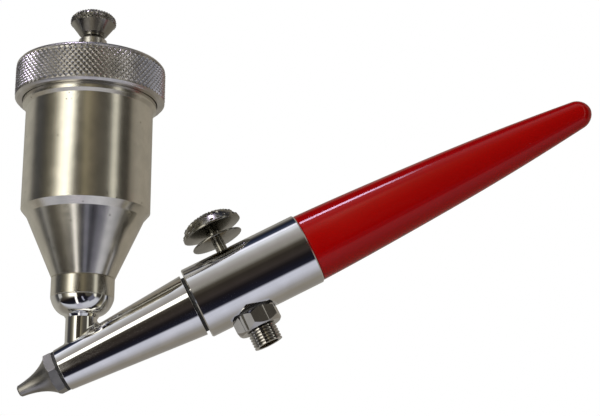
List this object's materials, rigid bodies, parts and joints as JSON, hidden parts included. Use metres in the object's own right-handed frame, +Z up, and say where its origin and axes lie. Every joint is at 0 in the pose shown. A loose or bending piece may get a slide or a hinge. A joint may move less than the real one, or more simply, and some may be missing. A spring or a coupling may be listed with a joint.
{
  "type": "airbrush gun",
  "caption": "Pen-sized spray gun with a push button, hexagon spray tip, tapered head, leaning lidded powder cup, threaded air inlet below and a long tapered handle.",
  "frame": {"origin": "where the push button's axis crosses the barrel's axis, at the holder mount", "axes": "+X along the barrel towards the handle, +Z up along the push button's axis, +Y across"},
  "size_m": [0.1385, 0.0332, 0.0879],
  "materials": {
    "polished_chrome": "polished chrome plate, mirror bright",
    "satin_nickel": "turned satin nickel plate with fine lathe lines",
    "lid_nickel": "matt nickel plate, knurled edge",
    "dark_nickel": "dull dark nickel plate",
    "valve_chrome": "chrome plate over a machined hexagon",
    "tip_steel": "bare turned steel",
    "carbide": "ground hard metal",
    "spring_steel": "drawn spring wire",
    "brass": "bare turned brass",
    "black_rubber": "matt black rubber",
    "red_plastic": "glossy deep red moulded plastic"
  },
  "bodies": {
    "gun": {"barrel": "polished_chrome", "head_cone": "polished_chrome", "spray_tip": "tip_steel", "tip_insert": "carbide", "tip_gasket": "black_rubber", "air_jet": "brass", "jet_seal": "black_rubber", "head_gasket": "black_rubber", "feed_stem": "polished_chrome", "cup_socket": "polished_chrome", "cup_seal": "black_rubber", "cup_collar": "satin_nickel", "cup": "satin_nickel", "feed_orifice": "brass", "stem_gland": "brass", "stem_seal": "black_rubber", "valve_body": "valve_chrome", "valve_gasket": "black_rubber", "valve_spring": "spring_steel", "valve_retainer": "brass", "handle": "red_plastic", "handle_insert": "brass", "handle_stud": "tip_steel"},
    "trigger": {"button_cap": "dark_nickel", "button_flange": "dark_nickel", "button_stem": "tip_steel"},
    "plunger": {"valve_plunger": "tip_steel", "plunger_seal": "black_rubber"},
    "lid": {"lid": "lid_nickel", "lid_gasket": "black_rubber", "lid_bush": "lid_nickel", "spindle_packing": "black_rubber", "gland_nut": "lid_nickel"},
    "spindle": {"spindle_rod": "tip_steel"},
    "knob": {"spindle_knob": "dark_nickel"}
  },
  "joints": [
    {"name": "trigger_press", "type": "slide", "parent": "gun", "child": "trigger", "axis": [0, 0, -1], "range_m": [0, 0.0018], "stiffness_N_per_m": 800, "springref_m": -0.001, "deforming": ["valve_spring"]},
    {"name": "plunger_travel", "type": "slide", "parent": "gun", "child": "plunger", "axis": [0, 0, -1], "range_m": [0, 0.00181]},
    {"name": "lid_lift", "type": "slide", "parent": "gun", "child": "lid", "axis": [0.4462, 0, 0.8949], "range_m": [0, 0.052]},
    {"name": "spindle_rise", "type": "slide", "parent": "lid", "child": "spindle", "axis": [0.4462, 0, 0.8949], "range_m": [0, 0.0014]},
    {"name": "knob_turn", "type": "hinge", "parent": "spindle", "child": "knob", "pos_m": [-0.0375, 0, 0], "axis": [0.4462, 0, 0.8949], "range_deg": [0, 722]}
  ],
  "couplings": [
    {"joint": "plunger_travel", "follows": "trigger_press", "ratio": 1},
    {"joint": "knob_turn", "follows": "spindle_rise", "rad_per_m": 8976}
  ]
}
